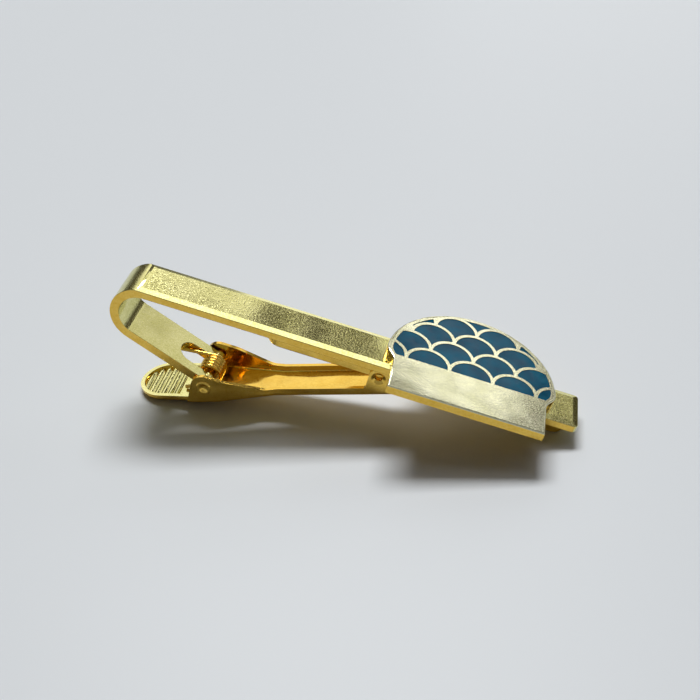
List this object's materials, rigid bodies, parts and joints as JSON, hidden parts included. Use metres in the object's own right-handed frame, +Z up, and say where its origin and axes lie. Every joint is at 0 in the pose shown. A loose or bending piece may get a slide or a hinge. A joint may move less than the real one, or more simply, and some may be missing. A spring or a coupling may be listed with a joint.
{
  "type": "tie clip",
  "caption": "Gold-tone tie clip: bevelled bar bent back into an arm that carries a sprung ribbed lever, with a domed enamelled plate across its face.",
  "frame": {"origin": "on the surface that the clip lies on, under the middle of its box", "axes": "+X along the clip from the bend to the tip, +Y away from the plate's straight base, +Z up"},
  "size_m": [0.057, 0.0176, 0.0169],
  "materials": {
    "satin_gold": "gold-plated brass with a fine satin face",
    "polished_gold": "gold-plated brass, polished",
    "struck_gold": "gold-plated die-struck brass",
    "blue_enamel": "deep blue enamel, polished",
    "spring_wire": "gold-plated spring wire"
  },
  "bodies": {
    "clip": {"front_bar": "satin_gold", "backing_strip": "polished_gold", "emblem_plate": "struck_gold", "enamel_cells": "blue_enamel", "torsion_spring": "spring_wire"},
    "lever": {"grip_lever": "polished_gold", "hinge_pin": "polished_gold"}
  },
  "joints": [
    {"name": "lever_hinge", "type": "hinge", "parent": "clip", "child": "lever", "pos_m": [-0.01752, -0.00135, 0.00343], "axis": [0, 1, 0], "range_deg": [0, 38], "stiffness_Nm_per_rad": 0.04, "springref_deg": -34.38, "deforming": ["torsion_spring"]}
  ]
}
